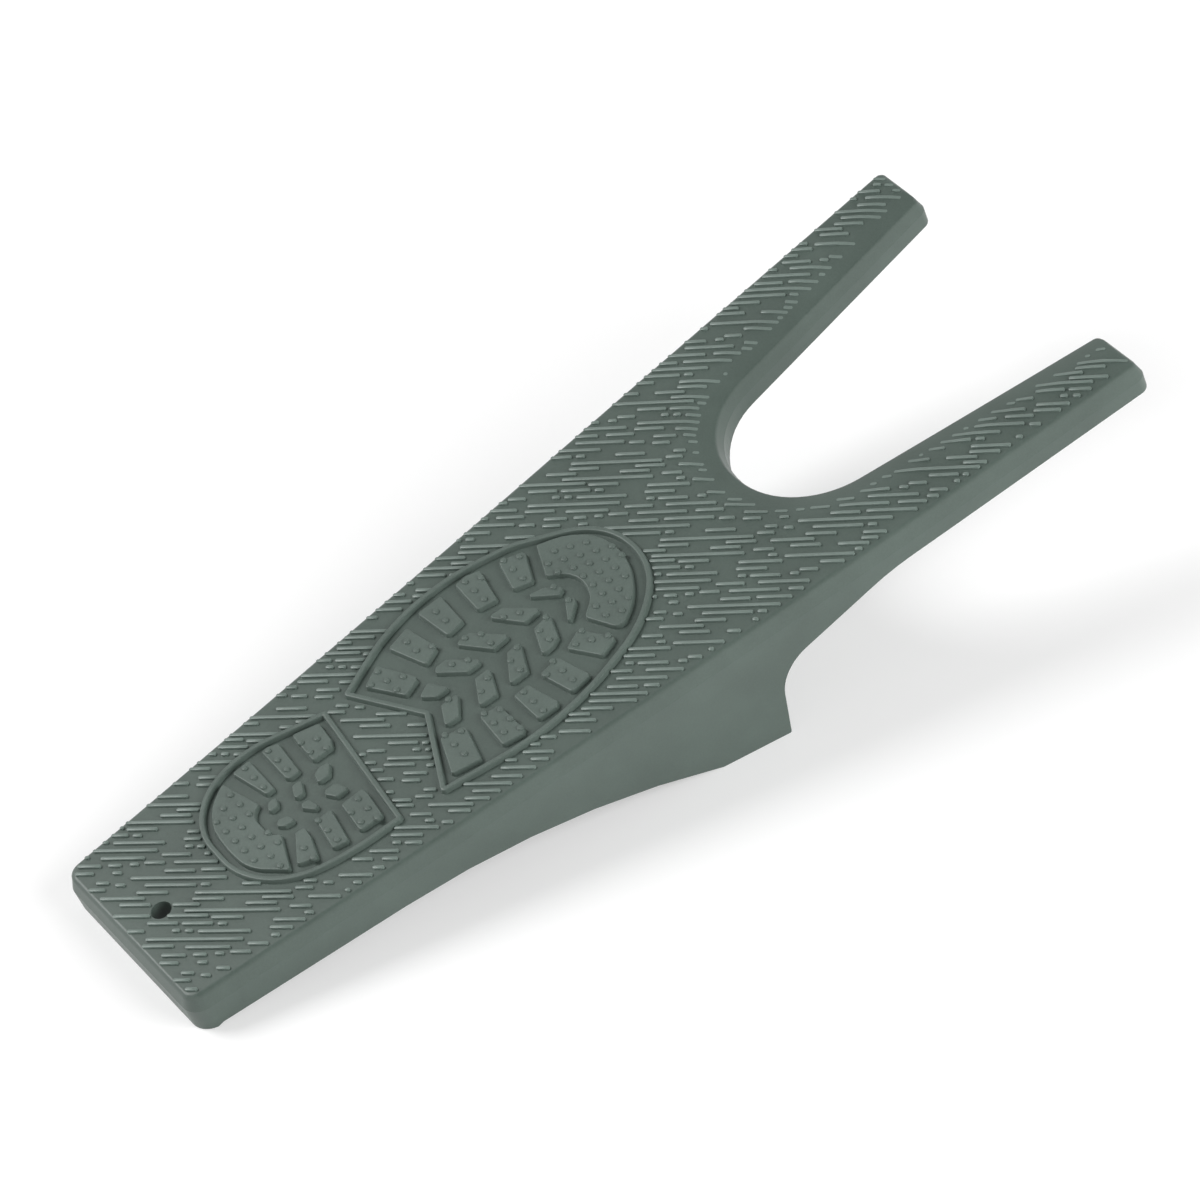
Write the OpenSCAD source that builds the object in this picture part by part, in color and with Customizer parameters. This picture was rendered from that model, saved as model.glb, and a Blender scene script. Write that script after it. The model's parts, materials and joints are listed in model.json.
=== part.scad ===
// Boot jack: a moulded plank with a U-shaped fork that holds a boot by its heel
// while the other foot stands on the deck. The deck slopes up from its rear edge
// to the fork, and a hollow foot below it carries the slope. Raised treads shaped
// like the sole of a boot show where the standing foot goes.
//
// The deck frame has x along the deck from its rear edge, y to the left and z
// square to the deck. on_floor() turns it to the frame that the jack stands in:
// +X to the fork, +Z up, and the origin on the floor below the middle of the jack.

/* [Deck] */
// Length of the deck from its rear edge to the prong ends
deck_l = 336; // [300:1:380]
// Width of the deck at its rear edge
rear_w = 72.4; // [66:0.2:84]
// Width of the deck across the root of the fork
root_w = 114.4; // [108:0.2:124]
// Width of the deck across the prong ends
tip_w = 130.4; // [124:0.2:144]
// Length of the fork, from the bend of the sides to the prong ends
fork_l = 106; // [98:1:116]
// Corner radius of the rear edge, seen from above
rear_r = 5; // [3:0.5:12]
// Corner radius of the prong ends, seen from above
tip_r = 2.4; // [2.2:0.1:5]
// Thickness of the deck
deck_t = 3; // [2:0.2:4]
// Depth of the long shallow hollow of the deck
deck_bow = 1.7; // [0.5:0.1:4]
// Slope of the deck when the jack stands on the floor, in degrees
tilt = 9.85; // [8:0.05:12]

/* [Skirt] */
// Thickness of the side walls
wall_t = 2.4; // [1.6:0.2:3]
// Depth of the wall at the rear edge
rear_drop = 13.3; // [11:0.1:16]
// Depth of the wall at the prong ends
tip_drop = 10.5; // [9:0.5:13]
// Rise of the prongs' lower edge to their ends, in degrees
prong_rise = 1; // [0:0.25:2]
// Length of the level strip that the rear wall stands on
strip_l = 4; // [2:0.5:8]
// Rounding of the top edge
edge_r = 1.8; // [0.5:0.1:2]
// Distance from the deck down to the parting line
parting_drop = 5.3; // [4:0.1:7]
// Distance that the wall leans out from the top edge to the parting line
lean_out = 1.2; // [0.6:0.1:1.8]
// Draft of the wall below the parting line, in degrees
wall_draft = 1; // [0:0.25:2]

/* [Fork] */
// Depth of the slot from the prong ends to its round bottom
slot_l = 106.5; // [95:0.5:118]
// Width of the slot between the prong ends
mouth_w = 90.5; // [84:0.5:96]
// Angle of each side of the slot to the axis of the jack, in degrees
slot_taper = 10.1; // [8:0.1:11]
// Radius of the round bottom of the slot
slot_r = 30; // [20:1:31]
// Rounding of the edge of the slot
slot_edge_r = 1; // [0.5:0.1:1.6]
// Width of the smooth band that rolls down to the slot
roll_w = 12; // [8:1:15]
// Drop of that band at the edge of the slot
roll_drop = 1.2; // [0.6:0.1:1.8]

/* [Foot] */
// Distance from the foot forward to the round bottom of the slot
foot_gap = 35.3; // [30:0.1:50]
// Length of the foot on the floor
foot_l = 23.2; // [18:0.2:30]
// Distance that the back wall of the foot leans forward between floor and deck
foot_lean = 4; // [0:0.5:8]
// Radius of the hollow between the foot and the fork
neck_r = 15; // [8:1:20]
// Depth of the wall in front of the foot
neck_drop = 21.7; // [18:0.1:26]
// Distance from the round bottom of the slot forward to the bend below it
bend_gap = 11.5; // [4:0.5:24]
// Radius of that bend
bend_r = 80; // [40:5:120]
// Distance from the foot back to the corner that the arch behind it rounds
arch_l = 49; // [40:1:60]
// Depth of the wall at that corner
arch_drop = 18.2; // [16:0.2:22]
// Radius of the arch behind the foot
arch_r = 247; // [120:1:260]

/* [Ribs] */
// Thickness of the ribs
rib_t = 1.8; // [1.2:0.2:2.4]
// Spacing of the ribs along the deck
rib_pitch_x = 28; // [22:1:32]
// Spacing of the ribs across the deck
rib_pitch_y = 27; // [20:1:32]
// Depth of the cross ribs below the deck
rib_h = 8; // [5:0.5:10]
// Distance from the lower edge of the skirt up to the ribs
rib_recess = 2; // [1:0.5:4]

/* [Hanging hole] */
// Diameter of the hanging hole
hole_d = 6.5; // [4:0.5:9]
// Distance from the rear edge to the hole
hole_x = 13; // [11:0.5:18]
// Wall of the boss around the hole
boss_wall = 2; // [1.5:0.5:3]
// Depth of the boss below the rear edge of the deck
boss_drop = 8; // [5:0.5:10]

/* [Tread] */
// Height of the lugs above the deck
lug_h = 1.6; // [1:0.1:2.4]
// Height of the rims above the deck
rim_h = 1.6; // [1:0.1:2.4]
// Width of the rims at their foot
rim_w = 2.1; // [1.6:0.1:2.8]
// Distance that the flanks of lugs and rims lean in on their way up
flank = 0.3; // [0.1:0.05:0.5]
// Rounding of the corners of the lugs, seen from above
lug_r = 1.2; // [0.6:0.1:2]
// Height of the studs above the lugs
stud_h = 0.7; // [0.3:0.1:1]
// Diameter of the studs
stud_d = 2; // [1.2:0.1:2.4]
// Distance from the rear edge to the middle of the heel tread
heel_x = 62; // [58:0.5:66]
// Distance from the rear edge to the middle of the forefoot tread
forefoot_x = 144; // [140:0.5:150]
// Spacing of the heel studs along the deck
heel_stud_dx = 4.35; // [4:0.05:6]
// Spacing of the heel studs across the deck
heel_stud_dy = 5.4; // [4.5:0.05:7]
// Spacing of the forefoot studs along the deck
forefoot_stud_dx = 4.3; // [4:0.05:6]
// Spacing of the forefoot studs across the deck
forefoot_stud_dy = 5.35; // [4.5:0.05:7]
// Spacing of the studs under the toes across the deck
toe_stud_dy = 5.2; // [4.5:0.05:7]

/* [Hidden] */
$fn = 48;

// Colours of the deck, of the ribs below it and of the treads
deck_grey = "#5d6b67";
rib_grey = "#6c7a75";
tread_grey = "#66746f";

// Longest stretch of the deck that is drawn as one flat
flat_l = 24;
// Distance that a cutting shape reaches past what it cuts
past = 4;
// Depth that lies below the whole jack
below = 90;
// Height by which a rounding ends above the face that it runs into
overrun = 0.03;
// Direction of the slot's side where it rounds into the prong ends, in degrees
flare_a = 75;

/* Outlines */

// A corner is [x, y, radius], and corners run anticlockwise. An outline is a list
// of [point, step], where step moves the point outwards by a distance of 1.
function xy(c) = [c[0], c[1]];
function unit(v) = v / norm(v);
function right_of(v) = [v[1], -v[0]];
function turned(v, a) = [v[0] * cos(a) - v[1] * sin(a), v[0] * sin(a) + v[1] * cos(a)];
function mitre(a, b) = let (m = right_of(a) + right_of(b)) m / (m * right_of(a));
function last(c, i) = (i + len(c) - 1) % len(c);
function next(c, i) = (i + 1) % len(c);
function way(c, i) = xy(c[next(c, i)]) - xy(c[i]);
function turn_at(c, i) = let (a = way(c, last(c, i)), b = way(c, i)) atan2(cross(a, b), a * b);

// Length of edge that a corner's rounding wants, and the share of it that it gets
function wanted(c, i) = c[i][2] * tan(abs(turn_at(c, i)) / 2);
function share(c, k) = 0.98 * norm(way(c, k)) / max(wanted(c, k) + wanted(c, next(c, k)), 0.01);

// One corner, rounded by an arc
function rounded(c, i, n_arc) =
    let (a = unit(way(c, last(c, i))), b = unit(way(c, i)), turn = turn_at(c, i),
         t = wanted(c, i) * min(1, share(c, i), share(c, last(c, i))),
         arm = sign(turn) * t / tan(abs(turn) / 2),
         middle = xy(c[i]) - a * t - right_of(a) * arm,
         n_step = max(2, ceil(n_arc * abs(turn) / 90 - 0.01)))
    c[i][2] < 0.1 ? [[xy(c[i]), mitre(a, b)]] :
    [for (j = [0 : n_step])
        let (out = turned(right_of(a), turn * j / n_step)) [middle + out * arm, out]];
function outline(c, n_arc = 10) = [for (i = [0 : len(c) - 1]) each rounded(c, i, n_arc)];

// The same outline with points added, so that no stretch is longer than flat_l
function stepped(o) = [
    for (i = [0 : len(o) - 1])
        let (p = o[i], q = o[next(o, i)], n = max(1, ceil(norm(q[0] - p[0]) / flat_l)))
        for (j = [0 : n - 1]) p + (q - p) * j / n];
function grown(o, e) = [for (p = o) p[0] + p[1] * e];

// The corners of an outline that lies e outside the first one
function moved(c, e) = [
    for (i = [0 : len(c) - 1])
        let (step = mitre(unit(way(c, last(c, i))), unit(way(c, i))) * e)
        [each xy(c[i]) + step, c[i][2] < 0.1 ? 0 : max(c[i][2] + sign(turn_at(c, i)) * e, 0.3)]];

// Corners moved along the deck, and corners with one radius made from points
function placed(c, middle) = [for (q = c) [q[0] + middle, q[1], q[2]]];
function corners(points, middle, r) = [for (p = points) [p[0] + middle, p[1], r]];

// Height of the top of the deck, a long hollow from the rear to the prong ends
function deck_z(x) = -4 * deck_bow * (x / deck_l) * (1 - x / deck_l);

// A solid through rings of points with one count. A level is [growth, height,
// follows], and it follows the top of the deck where the last value is 1.
module loft(rings, levels) {
    n = len(rings[0]);
    m = len(levels);
    points = [for (k = [0 : m - 1]) for (p = rings[k])
        [p[0], p[1], levels[k][1] + levels[k][2] * deck_z(p[0])]];
    sides = [for (k = [0 : m - 2]) for (i = [0 : n - 1])
        let (j = (i + 1) % n, a = k * n, b = a + n)
        each [[a + i, b + j, a + j], [a + i, b + i, b + j]]];
    foot = [for (i = [0 : n - 1]) i];
    top = [for (i = [n - 1 : -1 : 0]) (m - 1) * n + i];
    polyhedron(points, concat([foot], sides, [top]), convexity = 6);
}
module grown_loft(o, levels) {
    loft([for (l = levels) grown(o, l[0])], levels);
}

/* Plan of the deck */

// Growth of the wall at a height below the parting line
function wall_e(z) = lean_out + (z + parting_drop) * tan(wall_draft);
skirt_levels = [[wall_e(-below), -below, 0], [lean_out, -parting_drop, 1]];
root_x = deck_l - fork_l;
body_corners = [
    [0, -rear_w / 2, rear_r], [root_x, -root_w / 2, 4000], [deck_l, -tip_w / 2, tip_r],
    [deck_l, tip_w / 2, tip_r], [root_x, root_w / 2, 4000], [0, rear_w / 2, rear_r]];

// The slot runs out past the prong ends, once flared by their rounding, once straight
slot_x = deck_l - slot_l;
flare_x = deck_l - 0.2 * tip_r;
flare_out = past * tan(flare_a);
function slot_y(x) = mouth_w / 2 - (deck_l - x) * tan(slot_taper);
slot_corners = [
    [slot_x, -slot_y(slot_x), slot_r], [flare_x, -slot_y(flare_x), tip_r],
    [flare_x + past, -slot_y(flare_x) - flare_out, 0],
    [flare_x + past, slot_y(flare_x) + flare_out, 0],
    [flare_x, slot_y(flare_x), tip_r], [slot_x, slot_y(slot_x), slot_r]];
straight_x = deck_l + 3 * roll_w;
straight_corners = [
    [slot_x, -slot_y(slot_x), slot_r], [straight_x, -slot_y(straight_x), 0],
    [straight_x, slot_y(straight_x), 0], [slot_x, slot_y(slot_x), slot_r]];

/* Side view */

// The lower edge of the side wall, from the rear edge to the prong ends
rear_e = wall_e(-rear_drop);
foot_front = slot_x - foot_gap;
foot_x = foot_front - foot_l;
arch_x = foot_x - arch_l;
bend_x = slot_x + bend_gap;
function floor_z(x) = -rear_drop - (x + rear_e) * tan(tilt);
function prong_z(x) = -tip_drop + (x - deck_l) * tan(prong_rise);
function plumb_x(x, z) = x + (z - floor_z(x)) * tan(tilt);
side_corners = [
    [-past, floor_z(-past), 0],
    [strip_l, floor_z(strip_l), 0],
    [strip_l + 2, -rear_drop - 0.3, 1],
    [arch_x, -arch_drop, arch_r],
    [foot_x, floor_z(foot_x), 1],
    [foot_front, floor_z(foot_front), 0.5],
    [plumb_x(foot_front, -neck_drop), -neck_drop, neck_r],
    [bend_x, prong_z(bend_x), bend_r],
    [deck_l + past, prong_z(deck_l + past), 0]];
function lower_edge(rise) = [for (p = outline(side_corners, 16)) p[0] + [0, rise]];
function deck_line(rise) = [
    for (i = [ceil(deck_l / flat_l) + 1 : -1 : -1]) [i * flat_l, deck_z(i * flat_l) + rise]];

// Slabs that are seen from the side and reach past both side walls
module side_slab(points) {
    rotate([90, 0, 0]) linear_extrude(height = 2 * tip_w, center = true) polygon(points);
}
module above_edge(rise, drop) {
    side_slab(concat(lower_edge(rise), deck_line(-drop)));
}
module over_deck(low, high) {
    line = deck_line(low);
    side_slab(concat([for (i = [len(line) - 1 : -1 : 0]) line[i]], deck_line(high)));
}

/* Standing on the floor */

// Reach of the jack to the rear and to the front, and the height of its rear edge
rear_reach = min([for (p = [[0, -edge_r], [lean_out, -parting_drop], [rear_e, -rear_drop]])
    -p[0] * cos(tilt) - p[1] * sin(tilt)]);
tip_e = wall_e(-tip_drop);
front_reach = max([for (p = [[lean_out, -parting_drop], [tip_e, prong_z(deck_l + tip_e)]])
    (deck_l + p[0]) * cos(tilt) - p[1] * sin(tilt)]);
floor_drop = rear_drop * cos(tilt) + rear_e * sin(tilt);
module on_floor() {
    translate([-(rear_reach + front_reach) / 2, 0, floor_drop]) rotate([0, -tilt, 0]) children();
}

/* Shell */

// Rounding of the top edge in four steps, from the wall to the deck
edge_levels = concat(skirt_levels,
    [[0, -edge_r, 1], [-0.13 * edge_r, -0.5 * edge_r, 1], [-0.5 * edge_r, -0.13 * edge_r, 1],
     [-edge_r, overrun, 1], [-edge_r, past, 0]]);

// The slot with its leaning wall and its rounded edge
function roll_z(e) = -roll_drop * pow(max(0, 1 - e / roll_w), 2);
slot_levels = [
    [-wall_e(-below), -below, 0], [-lean_out, -parting_drop, 1],
    [0, roll_z(0) - slot_edge_r, 1],
    [0.13 * slot_edge_r, roll_z(0) - 0.5 * slot_edge_r, 1],
    [0.5 * slot_edge_r, roll_z(0.5 * slot_edge_r) - 0.13 * slot_edge_r, 1],
    [slot_edge_r, roll_z(slot_edge_r) + overrun, 1], [slot_edge_r, past, 0]];

// The smooth band that rolls down to the slot
roll_levels = concat(
    [for (u = [0 : 0.25 : 1]) [u * roll_w, roll_z(u * roll_w) + overrun * (2 * u - 1), 1]],
    [[roll_w, past, 0]]);

// The hollow below the deck, inside the skirt and around the wall of the slot
module hollow() {
    difference() {
        intersection() {
            grown_loft(stepped(outline(moved(body_corners, -wall_t), 6)),
                       concat(skirt_levels, [[0, 0, 1], [0, past, 0]]));
            side_slab(concat([[-past, 1 - below], [deck_l + past, 1 - below]],
                             deck_line(-deck_t)));
        }
        grown_loft(stepped(outline(moved(slot_corners, wall_t), 10)),
                   [[-wall_e(-below), -below, 0], [-lean_out, -parting_drop, 1],
                    [0, 0, 1], [0, past, 0]]);
    }
}
module hole_at(z, d, h) {
    translate([hole_x, 0, z]) cylinder(d = d, h = h);
}

module deck_shell() {
    color(deck_grey) on_floor() difference() {
        union() {
            difference() {
                intersection() {
                    grown_loft(stepped(outline(body_corners)), edge_levels);
                    above_edge(0, 0);
                }
                hollow();
                grown_loft(stepped(outline(slot_corners, 16)), slot_levels);
                grown_loft(stepped(outline(straight_corners, 12)), roll_levels);
            }
            hole_at(-boss_drop, hole_d + 2 * boss_wall, boss_drop - deck_t + 0.5);
        }
        hole_at(-boss_drop - past, hole_d, boss_drop + 2 * past);
    }
}

/* Foot and ribs */

// A line across the side view is [x at the foot's lowest point, x at the deck], and
// a bay is the space between two such lines
low_z = floor_z(foot_front);
back_line = [foot_x + 1, foot_x + 1 + foot_lean];
front_line = [foot_front, plumb_x(foot_front, 0)];
module bay(a, b) {
    side_slab([[a[0], low_z], [b[0], low_z], [b[1], 0], [a[1], 0]]);
}
function beside(line, t) = line + [t, t];
module foot_walls() {
    color(rib_grey) on_floor() intersection() {
        hollow();
        above_edge(0, deck_t);
        union() {
            bay(back_line, beside(back_line, wall_t));
            bay(beside(front_line, -wall_t), front_line);
        }
    }
}

// Ribs along the deck are as deep as the skirt, and ribs across it are shallow
module long_ribs() {
    for (y = [-rib_pitch_y, 0, rib_pitch_y]) translate([-past, y - rib_t / 2, -below])
        cube([deck_l + 2 * past, rib_t, below]);
}
module cross_ribs(xs) {
    intersection() {
        over_deck(-deck_t - rib_h, past);
        for (x = xs) translate([x - rib_t / 2, -tip_w, -below]) cube([rib_t, 2 * tip_w, below]);
    }
}
module ribs(a, b) {
    intersection() {
        hollow();
        above_edge(rib_recess, deck_t);
        bay(a, b);
        union() children();
    }
}
function front_rib_x(k) = foot_front + (k - 0.4) * rib_pitch_x;
root_line = [front_rib_x(2) - rib_t / 2, front_rib_x(2) - rib_t / 2];

module rear_ribs() {
    color(rib_grey) on_floor() difference() {
        ribs([-past, -past], back_line) {
            long_ribs();
            cross_ribs([for (x = [back_line[0] - rib_pitch_x : -rib_pitch_x :
                                  hole_x + rib_pitch_x / 2]) x]);
        }
        hole_at(-below, hole_d + 2 * boss_wall, below);
    }
}
module foot_ribs() {
    color(rib_grey) on_floor() intersection() {
        above_edge(rib_recess, deck_t);
        bay(beside(back_line, wall_t), beside(front_line, -wall_t));
        long_ribs();
    }
}
module root_ribs() {
    color(rib_grey) on_floor() ribs(front_line, root_line) {
        long_ribs();
        cross_ribs([front_rib_x(1)]);
    }
}
module prong_ribs(side) {
    color(rib_grey) on_floor() intersection() {
        ribs(root_line, [deck_l + past, deck_l + past])
            cross_ribs([for (x = [front_rib_x(2) : rib_pitch_x : deck_l - rib_pitch_x / 4]) x]);
        translate([0, side > 0 ? 0 : -tip_w, -below]) cube([deck_l + past, tip_w, below]);
    }
}
module left_prong_ribs() { prong_ribs(1); }
module right_prong_ribs() { prong_ribs(-1); }

/* Treads */

// Each tread is measured from its own middle. Its rim is an outline, its broad lugs
// carry studs and its pebbles are bare. Studs stand in lines across the tread, and each
// line lists their places in half spacings.
heel_rim_corners = [
    [27, 23.4, 0.5], [1.5, 31, 39], [-25, 24.5, 28], [-26.3, -20.2, 26], [2.5, -28.2, 80],
    [20.2, -29, 0.8]];
heel_rear_lug = [
    [-9.8, 25.5, 1], [-21.4, 18.3, 21], [-23, 1.6, 42], [-22.7, -9.2, 16.5], [-13.5, -20, 1],
    [-7.7, -5.5, 1.5], [-10.4, -3.8, 5], [-10.3, 7, 6], [-6.2, 9.1, 1.4]];
heel_side_lugs = [
    [[-3, 10.5], [0.5, 10.5], [1, 26.5], [-6, 26.5]],
    [[4.5, 11.5], [5.5, 10], [9.5, 10], [11, 25], [7.5, 26.5], [5, 26.5]],
    [[14, 10], [21.5, 10], [23, 13], [24, 21.5], [15, 24.5]],
    [[-5, -22.5], [-2, -13.5], [-1.5, -9], [-5, -8.5], [-11.5, -19.5]],
    [[-0.5, -23], [5, -24.5], [8, -9.5], [2, -9.5]],
    [[9, -24], [17.5, -24.5], [19, -14], [19, -10.5], [10.5, -10.5]]];
heel_pebbles = [
    [[-7, 3.7], [-2.6, 3.9], [-0.6, 8.2], [-4.4, 7.8]],
    [[1.7, 2], [5.6, 1.9], [8.2, 7.6], [4.2, 7.5]],
    [[10.2, 1.5], [14.8, 1.5], [18.2, 6.4], [13.8, 7], [11.3, 5.6]],
    [[-7.8, -2.2], [-5.6, -4.4], [-1.4, -5.1], [-2.8, -1.2], [-5.8, -0.1]],
    [[1.4, -2.4], [4, -6.2], [6.2, -6.1], [5.3, -1.2], [2.8, -0.3]],
    [[9.2, -3.6], [11.3, -7.4], [16.3, -7.4], [14.3, -2], [10.4, -2]]];
heel_first_stud = [-19.3, 2.9];
heel_stud_rows = [
    [4, 2, 0, -2, -4], [5, 3, 1, -1, -3, -5, -7], [6, 4, 2, -2, -4], [-7, -9], [8, 6, 4],
    [-5, -7, -9], [8, 6, 4], [-7, -9], [6, 4, -6, -8, -10], [5, 3]];

forefoot_rim_corners = [
    [-46, 24.2, 0.5], [-33.4, -2, 0.5], [-46.7, -30.6, 0.5], [-6.6, -38, 90], [31.5, -25.8, 54],
    [48, -8.5, 35], [46.7, 17.4, 28], [22.6, 32.3, 23], [-11, 42.2, 66]];
toe_lug_corners = [
    [27.3, 26.3, 0.8], [21.8, 12.9, 1.8], [29.3, 8, 10.5], [27.3, -4.3, 11.5], [20.4, -9.8, 2.3],
    [25.6, -22.9, 3], [35.2, -17, 28], [44.4, -1.3, 27.5], [42.7, 19.7, 20]];
forefoot_side_lugs = [
    [[-34, 8.5], [-28, 11], [-27.5, 13], [-33.5, 26.5], [-41, 22]],
    [[-23, 13.5], [-17, 16.5], [-16.5, 19], [-18.5, 31.5], [-27.5, 29]],
    [[-12, 18], [-5, 19], [-4, 33.5], [-13.5, 33.5]],
    [[0, 19], [7, 17.5], [10, 32], [5.5, 34], [1, 33.5]],
    [[12, 17], [18.5, 14.5], [23.5, 26], [23, 27.5], [15.5, 30.5]],
    [[-42, -28], [-32, -30.5], [-28.5, -17.5], [-28.5, -15.3], [-36.4, -13.2]],
    [[-25, -31], [-18, -32.5], [-16.5, -31], [-16.5, -16.9], [-23.6, -15.9]],
    [[-12, -31.5], [-5, -32], [-3.5, -30.5], [-6, -17.5], [-12, -17.5]],
    [[1, -31], [8.5, -30], [9, -29], [6.2, -15.9], [-1.8, -17.2]],
    [[15.5, -27], [22, -24.5], [22.5, -23], [16.5, -12], [9.5, -15.5]]];
forefoot_middle_lugs = [
    [[-16, 1], [-11, 1], [-10.4, 2.6], [-17.5, 11], [-21.5, 11], [-23.3, 9]],
    [[-5.5, 2], [0.5, 2.5], [1, 4], [-6.5, 14], [-10.5, 14], [-12.5, 13]],
    [[7, 3], [13, 3.3], [13.3, 5], [6, 14], [0, 14.6]],
    [[20.5, 3.3], [23.8, 5.3], [19.5, 10], [14.8, 11.6], [13.6, 10.4]],
    [[-33, -11], [-27.5, -11.5], [-22, -2.8], [-29, -2.8]],
    [[-21.5, -13], [-14.5, -13.5], [-10, -2.5], [-16, -2.5]],
    [[-10.5, -13.5], [-3, -13.5], [2.3, -1.2], [-3.5, -2]],
    [[3, -12], [8, -11.5], [11, -10], [14.2, -1], [13.3, 0.2], [7.5, -0.8]],
    [[17.5, -7.5], [22.5, -3], [24, 0], [20, 0], [16, -7]]];
forefoot_pebbles = [[[-28, 0.5], [-24, 0.5], [-23, 1], [-26.5, 8], [-32, 5]]];
forefoot_first_stud = [-39, -0.6];
forefoot_stud_rows = [
    [8], [9, 7, 5, -5, -7, -9], [6, -6], [-1], [10, 8, -6, -8, -10], [7, 3, -3, -7, -9, -11],
    [2, -2], [11, 9, 5, -7, -9, -11], [4, 2, -2, -4], [-1, -7], [12, 10, 8, 4, -6, -8, -10],
    [11, 3, -1, -3], [0, -6], [11, 9, 7, -5, -7], [10, 3, 0, -8]];
toe_first_stud = [25.5, 3.5];
toe_stud_rows = [
    [5, 3, -5, -7], [6, 4, 2, 0, -2, -4, -6, -8], [5, 3, 1, -1, -3, -5, -7], [4, 2, 0, -2, -4],
    [1, -1]];

// The flank of a lug or rim leans in up to its crown, and the crown leans in further
crown = 0.4;
function relief_levels(h) = [
    [0.5 * flank, -0.5, 1], [-flank, h - crown, 1], [-flank - crown, h + 0.25 * crown, 1]];
function rings(c, levels, side) = [
    for (l = levels) [for (p = outline(moved(c, side * l[0]), 4)) p[0]]];
module raised(c, h) {
    levels = relief_levels(h);
    loft(rings(c, levels, 1), levels);
}

// A rim is the space between two outlines whose flanks lean towards each other
module rim(c) {
    levels = relief_levels(rim_h);
    cut_levels = [levels[0] - [0, past, 0], levels[1], levels[2] + [0, overrun, 0]];
    intersection() {
        over_deck(0, rim_h);
        difference() {
            raised(moved(c, rim_w / 2), rim_h);
            loft(rings(moved(c, -rim_w / 2), levels, -1), cut_levels);
        }
    }
}

// Whether a stud at p stands on a lug, at least a margin away from its edges
function on_edge(p, a, b) =
    let (u = max(0, min(1, (p - a) * (b - a) / ((b - a) * (b - a))))) norm(p - a - (b - a) * u);
function passes(p, a, b) =
    (a[1] > p[1]) != (b[1] > p[1]) && p[0] < a[0] + (b[0] - a[0]) * (p[1] - a[1]) / (b[1] - a[1]);
function stands_on(p, o, margin) =
    let (n = len(o),
         crossed = len([for (i = [0 : n - 1]) if (passes(p, o[i][0], o[next(o, i)][0])) i]))
    crossed % 2 == 1 && min([for (i = [0 : n - 1]) on_edge(p, o[i][0], o[next(o, i)][0])]) > margin;
function stud_places(first, rows, dx, dy) = [
    for (i = [0 : len(rows) - 1]) for (j = rows[i]) first + [i * dx, j * dy / 2]];
module studs(c, places) {
    o = outline(c, 4);
    for (p = places) if (stands_on(p, o, 0.2))
        translate([p[0], p[1], deck_z(p[0]) + lug_h - crown])
            cylinder(h = stud_h + crown, d1 = 1.1 * stud_d, d2 = 0.7 * stud_d, $fn = 24);
}
module lugs(studded, bare, places) {
    intersection() {
        over_deck(0, lug_h);
        for (c = concat(studded, bare)) raised(c, lug_h);
    }
    for (c = studded) studs(c, places);
}

module heel_rim() {
    color(tread_grey) on_floor() rim(placed(heel_rim_corners, heel_x));
}
module heel_lugs() {
    studded = concat([placed(heel_rear_lug, heel_x)],
                     [for (l = heel_side_lugs) corners(l, heel_x, lug_r)]);
    color(tread_grey) on_floor()
        lugs(studded, [for (l = heel_pebbles) corners(l, heel_x, lug_r)],
             stud_places(heel_first_stud + [heel_x, 0], heel_stud_rows, heel_stud_dx, heel_stud_dy));
}
module forefoot_rim() {
    color(tread_grey) on_floor() rim(placed(forefoot_rim_corners, forefoot_x));
}
module forefoot_lugs() {
    studded = [for (l = concat(forefoot_side_lugs, forefoot_middle_lugs))
        corners(l, forefoot_x, lug_r)];
    bare = [for (l = forefoot_pebbles) corners(l, forefoot_x, lug_r)];
    color(tread_grey) on_floor()
        lugs(studded, bare, stud_places(forefoot_first_stud + [forefoot_x, 0],
                                        forefoot_stud_rows, forefoot_stud_dx, forefoot_stud_dy));
}
module toe_lug() {
    color(tread_grey) on_floor()
        lugs([placed(toe_lug_corners, forefoot_x)], [],
             stud_places(toe_first_stud + [forefoot_x, 0], toe_stud_rows,
                         forefoot_stud_dx, toe_stud_dy));
}

deck_shell();
foot_walls();
rear_ribs();
foot_ribs();
root_ribs();
left_prong_ribs();
right_prong_ribs();
heel_rim();
heel_lugs();
forefoot_rim();
forefoot_lugs();
toe_lug();
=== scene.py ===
"""Looks of a moulded boot jack, dressed around its CAD frame.

The treads are made again with rubbed edges that carry a painted highlight, the grip bars
are raised on the deck, every part gets its moulded finish, with painted light and shade in
the colours of the deck, its walls and its bars, and the floor, the lamps and the camera
are set.
"""

import itertools
import json
import math

import bmesh
import bpy
import numpy as np
from bpy.props import FloatProperty, FloatVectorProperty, PointerProperty
from mathutils import Matrix, Vector
from mathutils.bvhtree import BVHTree


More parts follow.
